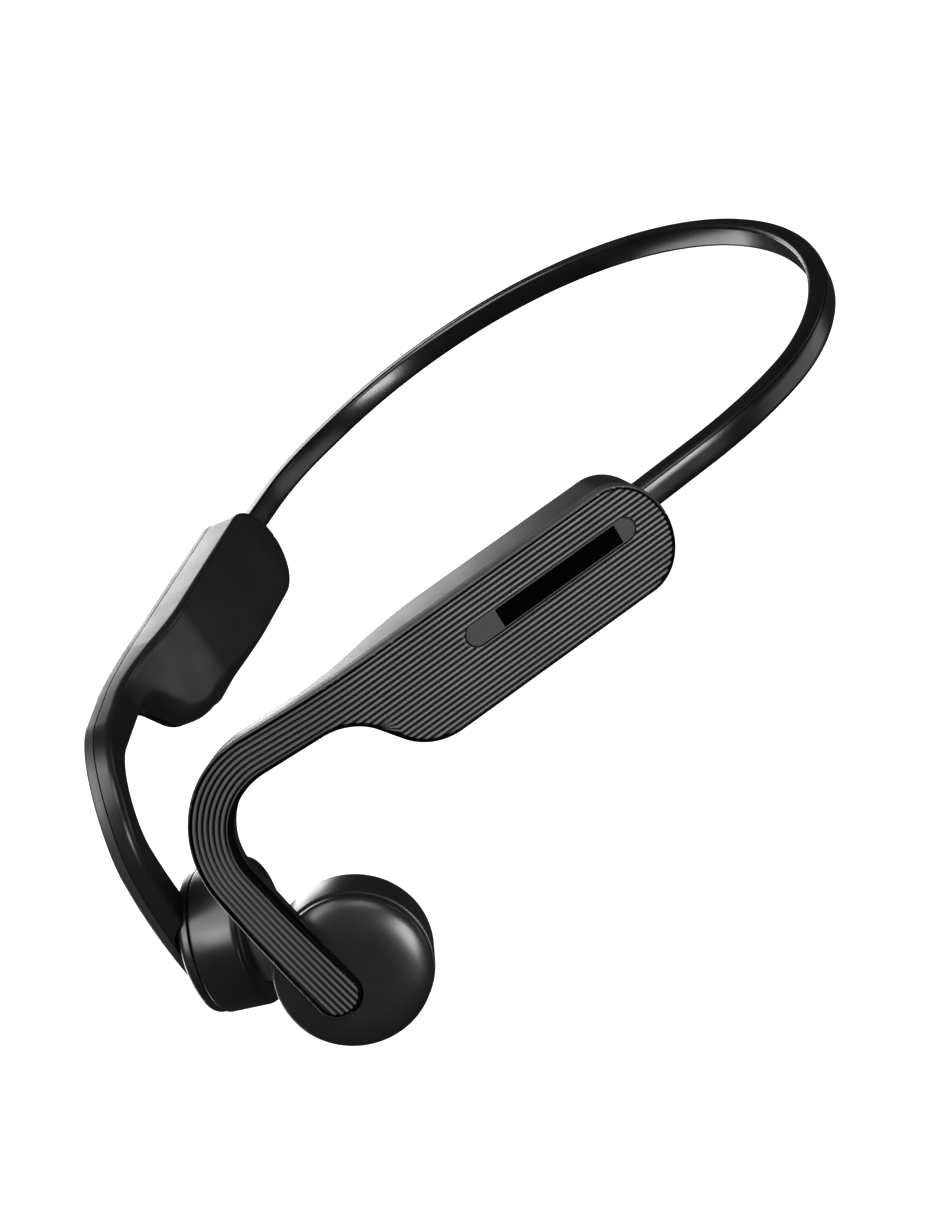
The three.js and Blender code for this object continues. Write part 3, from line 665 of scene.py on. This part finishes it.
class Nodes:
    """A material being built, with short calls for its nodes."""

    def __init__(self, name):
        self.material = bpy.data.materials.new(name)
        self.material.use_nodes = True
        self.tree = self.material.node_tree
        self.shader = self.tree.nodes["Principled BSDF"]
        self.place = self.add("ShaderNodeTexCoord").outputs["Object"]

    def add(self, kind, **values):
        node = self.tree.nodes.new(kind)
        for key, value in values.items():
            setattr(node, key, value)
        return node

    def link(self, source, target):
        self.tree.links.new(source, target)

    def noise(self, scale, detail=3.0, roughness=0.5):
        node = self.add("ShaderNodeTexNoise")
        node.inputs["Scale"].default_value = scale
        node.inputs["Detail"].default_value = detail
        node.inputs["Roughness"].default_value = roughness
        self.link(self.place, node.inputs["Vector"])
        return node.outputs["Fac"]

    def spread(self, value, low, high, start=0.3, end=0.7):
        """Stretches the range of noise from start to end over low to high."""
        node = self.add("ShaderNodeMapRange")
        self.link(value, node.inputs["Value"])
        node.inputs["From Min"].default_value = start
        node.inputs["From Max"].default_value = end
        node.inputs["To Min"].default_value = low
        node.inputs["To Max"].default_value = high
        return node.outputs["Result"]

    def between(self, value, first, second):
        node = self.add("ShaderNodeMix", data_type="RGBA")
        self.link(value, node.inputs["Factor"])
        node.inputs[6].default_value = (*first, 1)
        node.inputs[7].default_value = (*second, 1)
        return node.outputs[2]

    def bump(self, height, strength, distance):
        node = self.add("ShaderNodeBump")
        node.inputs["Strength"].default_value = strength
        node.inputs["Distance"].default_value = distance
        self.link(height, node.inputs["Height"])
        self.link(node.outputs["Normal"], self.shader.inputs["Normal"])

    def colour(self, value):
        self.link(value, self.shader.inputs["Base Color"])

    def set(self, **values):
        for key, value in values.items():
            self.shader.inputs[key.replace("_", " ")].default_value = value


def moulded(name, dark, light, roughness, grain=0.06, specular=0.5):
    """Moulded plastic: a fine spark-eroded grain, faint tone and gloss variation."""
    m = Nodes(name)
    m.set(IOR=1.5)
    m.shader.inputs["Specular IOR Level"].default_value = specular
    m.colour(m.between(m.spread(m.noise(TONE_GRAIN, 4), 0, 1), dark, light))
    low, high = roughness
    m.link(m.spread(m.noise(GLOSS_GRAIN, 1), low, high), m.shader.inputs["Roughness"])
    m.bump(m.noise(FINE_GRAIN, 1), grain, 0.00001)
    return m.material


def metal(name, dark, light, roughness):
    """Bare metal with a faint tone and gloss variation."""
    m = Nodes(name)
    m.set(Metallic=1.0)
    m.colour(m.between(m.spread(m.noise(METAL_TONE_GRAIN, 4), 0, 1), dark, light))
    low, high = roughness
    m.link(m.spread(m.noise(METAL_GLOSS_GRAIN, 3), low, high), m.shader.inputs["Roughness"])
    m.bump(m.noise(METAL_FINE_GRAIN, 2), 0.1, 0.00002)
    return m.material


def grey(value, warmth=0.0):
    """A grey, or with some warmth a slightly yellow one."""
    return (value * (1 + warmth), value, value * (1 - warmth))


def ribbed(name):
    """Moulded plastic with painted shade in the grooves and on the border: near black, no
    reflection.
    """
    material = moulded(name, grey(0.058), grey(0.070), (0.36, 0.46))
    tree = material.node_tree
    shader = tree.nodes["Principled BSDF"]
    plain = shader.inputs["Base Color"].links[0].from_socket
    sunk = tree.nodes.new("ShaderNodeAttribute")
    sunk.attribute_name = "groove"
    border = tree.nodes.new("ShaderNodeAttribute")
    border.attribute_name = "border"
    # Painted shade: the larger of the groove and border layers mixes the colour towards near black.
    painted_shade = tree.nodes.new("ShaderNodeMath")
    painted_shade.operation = "MAXIMUM"
    tree.links.new(sunk.outputs["Fac"], painted_shade.inputs[0])
    tree.links.new(border.outputs["Fac"], painted_shade.inputs[1])
    mix = tree.nodes.new("ShaderNodeMix")
    mix.data_type = "RGBA"
    tree.links.new(painted_shade.outputs[0], mix.inputs["Factor"])
    tree.links.new(plain, mix.inputs[6])
    mix.inputs[7].default_value = (*grey(0.0015), 1)
    tree.links.new(mix.outputs[2], shader.inputs["Base Color"])
    # Painted shade: the same share takes the reflection down from 0.5 to 0.04.
    shaded_specular = tree.nodes.new("ShaderNodeMapRange")
    shaded_specular.inputs["From Min"].default_value = 0.55
    shaded_specular.inputs["To Min"].default_value = 0.5
    shaded_specular.inputs["To Max"].default_value = 0.04
    tree.links.new(painted_shade.outputs[0], shaded_specular.inputs["Value"])
    tree.links.new(shaded_specular.outputs["Result"], shader.inputs["Specular IOR Level"])
    return material


materials = {
    "ribbed_black": ribbed("ribbed_black"),
    "satin_black": moulded("satin_black", grey(0.010), grey(0.014), (0.28, 0.34)),
    "strap_black": moulded("strap_black", grey(0.004), grey(0.007), (0.20, 0.26), 0.03),
    "gloss_black": moulded("gloss_black", grey(0.0010), grey(0.0016), (0.04, 0.08), 0.0, 0.12),
    "button_grey": moulded("button_grey", grey(0.022), grey(0.027), (0.42, 0.5), 0.06, 0.3),
    "pad_grey": moulded("pad_grey", grey(0.11), grey(0.13), (0.5, 0.62), 0.2),
    "rubber_black": moulded("rubber_black", grey(0.008), grey(0.012), (0.6, 0.75), 0.2),
    "board_green": moulded("board_green", (0.01, 0.07, 0.03), (0.015, 0.1, 0.04), (0.3, 0.4)),
    "chip_grey": metal("chip_grey", grey(0.4), grey(0.5), (0.3, 0.45)),
    "steel": metal("steel", grey(0.5), grey(0.58), (0.25, 0.4)),
    "titanium": metal("titanium", grey(0.38, 0.03), grey(0.46, 0.03), (0.3, 0.45)),
    "nickel": metal("nickel", grey(0.6), grey(0.68), (0.15, 0.25)),
    "copper": metal("copper", (0.5, 0.2, 0.09), (0.62, 0.27, 0.12), (0.3, 0.45)),
    "cell_silver": metal("cell_silver", grey(0.5), grey(0.6), (0.35, 0.5)),
    "lamp_white": moulded("lamp_white", grey(0.7), grey(0.76), (0.15, 0.2), 0.0),
}

for entry in frame["record"]["subparts"]:
    node = frame["nodes"][entry["node"]]
    node.data.materials.clear()
    node.data.materials.append(materials[entry["material_slot"]])


def finished(obj, slot, *nodes, body=None, angle=32):
    """Gives a piece its material, what it stands for and the body it rides on."""
    shaded(obj, angle)
    obj.data.materials.clear()
    obj.data.materials.append(materials[slot])
    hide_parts(*nodes)
    if body:
        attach(obj, body)
    return obj


# ---------- arms and pods ----------


def cap_profile():
    """Flat middle, dome down to the side, and a plain rim that meets the pod's shell."""
    reach = CAP_RADIUS - DOME_START
    drop = CAP_RISE + DOME_END
    profile = [(0, -CAP_RISE)]
    profile += [
        (DOME_START + reach * math.sin(a), DOME_END - drop * math.cos(a))
        for a in np.linspace(0, math.pi / 2, 28)
    ]
    profile += [(CAP_RADIUS, CAP_END - 0.1), (CAP_RADIUS - 0.1, CAP_END)]
    profile += [(CAP_BORE_RADIUS, CAP_END), (CAP_BORE_RADIUS, CAP_FLOOR), (0, CAP_FLOOR)]
    return profile


def pod_profile():
    """Drum with a small edge at the cap and a rounded one round the contact pad."""
    profile = [
        (POD_LIP_RADIUS, SHELL_START),
        (POD_RADIUS - 0.35, SHELL_START),
        (POD_RADIUS - 0.15, SHELL_START + 0.06),
        (POD_RADIUS - 0.04, SHELL_START + 0.2),
        (POD_RADIUS, SHELL_START + 0.45),
    ]
    for a in np.linspace(0, math.pi / 2, 10):
        r = POD_RADIUS - POD_EDGE_RADIUS * (1 - math.cos(a))
        profile.append((r, SHELL_END - POD_EDGE_RADIUS + POD_EDGE_RADIUS * math.sin(a)))
    profile += [
        (POD_MOUTH_RADIUS + 0.15, SHELL_END),
        (POD_MOUTH_RADIUS, SHELL_END - 0.12),
        (POD_MOUTH_RADIUS, SHELL_END - 1),
        (POD_LIP_RADIUS, SHELL_END - 1.4),
    ]
    return profile


def pad_profile():
    """A disc with a rounded edge and a slightly domed face."""
    edge = PAD_FACE - PAD_EDGE_RADIUS
    profile = [(0, PAD_FACE - PAD_BACK), (PAD_RADIUS, PAD_FACE - PAD_BACK), (PAD_RADIUS, edge)]
    profile += [
        (PAD_RADIUS - PAD_EDGE_RADIUS + PAD_EDGE_RADIUS * math.cos(a), edge + 1.1 * math.sin(a))
        for a in np.linspace(0.1, math.pi / 2, 8)
    ]
    profile += [(7.0, PAD_FACE - 0.02), (4.0, PAD_FACE), (0, PAD_FACE)]
    return profile


def button_opening():
    """The opening in the left cover for the function button."""
    length = BUTTON_REAR - BUTTON_FRONT + 2 * BUTTON_RADIUS + 2 * BUTTON_GAP
    middle = ((BUTTON_REAR + BUTTON_FRONT) / 2, BUTTON_LEVEL)
    radius = BUTTON_RADIUS + BUTTON_GAP
    return stadium("opening", length, radius, [(0, -1), (0, 3)], 1, 24, middle=middle)


def tip_seat(side):
    """The recess in the pod's cap for the tip of the cover."""
    places = [p for p in arm_stations(12, to_tip=True) if p[0] in ("drop", "tip")]
    seat = slab("seat", places, -SEAT_MARGIN, SEAT_TOP, lambda kind, q: SEAT_DEPTH)
    return mirrored(seat, side)


for side_name, side in SIDES.items():
    body = f"{side_name}_side"
    outer = cover(f"cover_{side_name}", side)
    if side > 0:
        carve(outer, [button_opening()])
    finished(outer, "ribbed_black", f"{side_name}_outer_cover", body=body, angle=28)
    inner = shell(f"shell_{side_name}", side)
    finished(inner, "satin_black", f"{side_name}_inner_shell", body=body)
    cap = turned(f"cap_{side_name}", cap_profile(), side)
    carve(cap, [tip_seat(side)])
    finished(cap, "satin_black", f"{side_name}_pod_cap", body=body)
    drum = turned(f"drum_{side_name}", pod_profile(), side)
    finished(drum, "satin_black", f"{side_name}_pod_shell", body=body)
    pad = turned(f"pad_{side_name}", pad_profile(), side)
    finished(pad, "pad_grey", f"{side_name}_contact_pad", body=body)

# ---------- sleeve, sprung wire and wiring of the strap ----------


def corner(out, up, radius, start, steps=5):
    """Part of a section: a rounded corner turning a quarter from the start angle."""
    return [
        (out + radius * math.cos(a), up + radius * math.sin(a))
        for a in np.radians(np.linspace(start, start - 90, steps))
    ]


def sleeve_section():
    """Round at three corners; the upper outer one is a bevel with a fine line below it."""
    bevel = [(0.70, 2.31), (0.86, 2.28), (1.44, 1.84), (1.50, 1.74)]
    line = [(1.36, 1.66), (1.36, 1.54)]
    outer_side = [(1.56, 1.48), (1.63, 1.2), (1.65, 0.4), (1.65, -0.8)]
    rounded = corner(0.9, -1.56, 0.75, 0) + corner(-0.9, -1.56, 0.75, -90)
    return bevel + line + outer_side + rounded + corner(-0.9, 1.56, 0.75, 180)


def round_section(radius, level, sides=16):
    """A circle at a level above the strap's middle."""
    angles = np.linspace(0, 2 * math.pi, sides, endpoint=False)
    return [(radius * math.cos(a), level + radius * math.sin(a)) for a in angles]


def band(name, section, slot, part, angle=32):
    """One continuous piece of the strap that bends between the two sides."""
    obj = whole_strap(name, section)
    finished(obj, slot, f"left_{part}", f"right_{part}", angle=angle)
    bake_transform(obj)


band("strap_sleeve", sleeve_section(), "strap_black", "strap_sleeve", 24)
band("strap_wire", round_section(0.55, 0.75), "titanium", "strap_wire")
band("strap_harness", round_section(0.4, -0.75), "copper", "strap_harness")

# ---------- buttons, flap and lamp ----------


def bar_plate(name, margin, levels):
    """A rectangular plate at the bar's place in the left cover; levels lists (inset, depth)."""
    front, rear = BAR_FRONT - margin, BAR_REAR + margin
    low, high = BUTTON_LEVEL - BAR_HALF - margin, BUTTON_LEVEL + BAR_HALF + margin
    rings = []
    for inset, depth in levels:
        s = [front + inset, rear - inset, rear - inset, front + inset]
        t = [low + inset, low + inset, high - inset, high - inset]
        rings.append(placed(s, t, depth))
    return loft(name, rings)


def function_button():
    """The button in the left cover, with a recess for its bar."""
    length = BUTTON_REAR - BUTTON_FRONT + 2 * BUTTON_RADIUS
    middle = ((BUTTON_REAR + BUTTON_FRONT) / 2, BUTTON_LEVEL)
    levels = [(0, 2.4), (0, 0.22), (0.05, 0.07), (0.14, 0.0)]
    button = stadium("function_button", length, BUTTON_RADIUS, levels, 1, 24, middle=middle)
    return carve(button, [bar_plate("recess", BAR_GAP, [(0, 0.5), (0, -1)])])


def edge_piece(name, length, radius, levels, s, steps):
    """A stadium-shaped piece in the right housing's lower edge; levels lists (inset, height)."""
    middle = (s, EDGE_DEPTH)
    return stadium(name, length, radius, levels, -1, steps, flat=False, middle=middle)


def volume_button(name, s):
    """A button with a rounded edge and a nearly flat face."""
    face = -HALF_HEIGHT - VOLUME_STAND
    rounded = [(0, face + 0.2), (0.06, face + 0.08), (0.2, face + 0.01), (0.5, face)]
    levels = [(0, VOLUME_INNER_END)] + rounded
    return edge_piece(name, VOLUME_LENGTH, VOLUME_RADIUS, levels, s, 16)


def port_flap():
    """The flap with the plug that fills the port's mouth."""
    face = -HALF_HEIGHT
    cover_levels = [(0, face + 0.7), (0, face + 0.15), (0.05, face + 0.04), (0.15, face)]
    plug_levels = [(0.15, face + 1.7), (0, face + 1.55), (0, face + 0.5)]
    flap = edge_piece("port_flap_cover", FLAP_LENGTH, FLAP_RADIUS, cover_levels, PORT_PLACE, 16)
    plug = edge_piece("plug", PLUG_LENGTH, PLUG_RADIUS, plug_levels, PORT_PLACE, 12)
    return carve(flap, [plug], "UNION")


def lamp_lens():
    """The lamp's white pin, flush with the edge."""
    face = -HALF_HEIGHT
    levels = [(0, face + 2.6), (0, face + 0.1), (0.1, face)]
    return edge_piece("lamp_lens", LAMP_LENGTH, LAMP_RADIUS, levels, LAMP_PLACE, 12)


finished(function_button(), "button_grey", "multi_function_button", body="function_button")
bar = bar_plate("function_button_bar", 0, [(0, 0.45), (0, 0.05), (0.04, 0.01)])
finished(bar, "gloss_black", "button_bar", body="function_button")
for place, s in VOLUME_PLACES.items():
    key = volume_button(f"volume_{place}", s)
    finished(key, "button_grey", f"volume_{place}_button", body=f"volume_{place}")
finished(port_flap(), "rubber_black", "port_flap", body="flap")
finished(lamp_lens(), "lamp_white", "status_lamp", body="right_side")

# ---------- floor, light and camera ----------

FLOOR_LEVEL = -0.022  # metres; low enough for the left side when the band is opened
FLOOR_HALF = 6.0
FLOOR_GLOW = 0.88
WORLD_FILL = 0.05
WORLD_SEEN = 0.95
LIGHT_DISTANCE = 1.1

# (name, direction from the middle of the footprint, width and height in metres, power in watts)
LIGHTS = [
    ("front", (0.97, -0.22, 0.0), (0.50, 0.36), 9.2),
    ("top", (0.05, -0.12, 1.0), (1.0, 1.0), 15),
    ("high_front", (0.26, -0.49, 0.83), (0.4, 0.4), 3.5),
    ("back", (-0.859, 0.465, 0.212), (0.45, 0.24), 1.5),
    ("rim", (-0.93, 0.35, -0.10), (0.40, 0.30), 2.2),
    ("left", (-0.86, -0.42, -0.28), (0.8, 0.35), 3.0),
    ("right", (0.45, 0.89, -0.05), (0.35, 0.3), 0.6),
    ("cap", (0.67, 0.15, 0.55), (0.45, 0.45), 3.2),
    ("under", (0.604, 0.560, -0.567), (0.90, 0.35), 1.3),
]

CAMERA_PLACE = (241.097, -122.750, 110.619)  # level millimetres
CAMERA_VIEW = (-0.76145, 0.50942, -0.40086)  # directions in the level frame
CAMERA_UP = (0.01963, 0.63624, 0.77124)
CAMERA_LENS = 53.33


def floor(level):
    """A white floor that lights nothing and shows in no reflection, to keep black plastic black."""
    mesh = bpy.data.meshes.new("floor")
    signs = [(-1, -1), (1, -1), (1, 1), (-1, 1)]
    corners = [(a * FLOOR_HALF, b * FLOOR_HALF, level) for a, b in signs]
    mesh.from_pydata(corners, [], [(0, 1, 2, 3)])
    obj = bpy.data.objects.new("floor", mesh)
    bpy.context.scene.collection.objects.link(obj)
    obj.visible_diffuse = False
    obj.visible_glossy = False
    obj.visible_shadow = False
    m = Nodes("floor")
    m.colour(m.between(m.spread(m.noise(3, 3), 0, 1), grey(0.16), grey(0.18)))
    m.set(Roughness=0.75)
    m.shader.inputs["Emission Color"].default_value = (1, 1, 1, 1)
    m.shader.inputs["Emission Strength"].default_value = FLOOR_GLOW
    mesh.materials.append(m.material)


def area_light(name, towards, size, power):
    """A soft rectangular light that faces the middle of the footprint."""
    place = Vector(towards).normalized() * LIGHT_DISTANCE
    data = bpy.data.lights.new(name, "AREA")
    data.shape = "RECTANGLE"
    data.size, data.size_y = size
    data.energy = power
    obj = bpy.data.objects.new(name, data)
    obj.location = place
    obj.rotation_euler = (-place).to_track_quat("-Z", "Y").to_euler()
    obj.visible_camera = False
    bpy.context.scene.collection.objects.link(obj)


def surroundings():
    """White to the eye, dark in reflections and as fill."""
    world = bpy.data.worlds.new("studio")
    bpy.context.scene.world = world
    world.use_nodes = True
    tree = world.node_tree
    fill = tree.nodes["Background"]
    fill.inputs["Color"].default_value = (1, 1, 1, 1)
    fill.inputs["Strength"].default_value = WORLD_FILL
    seen = tree.nodes.new("ShaderNodeBackground")
    seen.inputs["Color"].default_value = (*grey(WORLD_SEEN), 1)
    ray = tree.nodes.new("ShaderNodeLightPath")
    mix = tree.nodes.new("ShaderNodeMixShader")
    tree.links.new(ray.outputs["Is Camera Ray"], mix.inputs[0])
    tree.links.new(fill.outputs[0], mix.inputs[1])
    tree.links.new(seen.outputs[0], mix.inputs[2])
    tree.links.new(mix.outputs[0], tree.nodes["World Output"].inputs["Surface"])


def aimed_camera():
    """The camera that took the picture, as fitted to its outlines."""
    camera = bpy.data.objects.new("camera", bpy.data.cameras.new("camera"))
    bpy.context.scene.collection.objects.link(camera)
    origin = rest(np.zeros(3))
    view = Vector(rest(np.array(CAMERA_VIEW)) - origin).normalized()
    up = Vector(rest(np.array(CAMERA_UP)) - origin).normalized()
    turn = Matrix((view.cross(up), up, -view)).transposed().to_4x4()
    camera.matrix_world = Matrix.Translation(Vector(rest(np.array(CAMERA_PLACE)))) @ turn
    camera.data.lens = CAMERA_LENS
    camera.data.sensor_width = 36.0
    camera.data.clip_start = 0.01
    camera.data.clip_end = 30.0
    bpy.context.scene.camera = camera


floor(FLOOR_LEVEL)
surroundings()
for light in LIGHTS:
    area_light(*light)
aimed_camera()
bpy.context.scene.view_settings.view_transform = "Standard"
bpy.context.scene.view_settings.look = "Medium High Contrast"
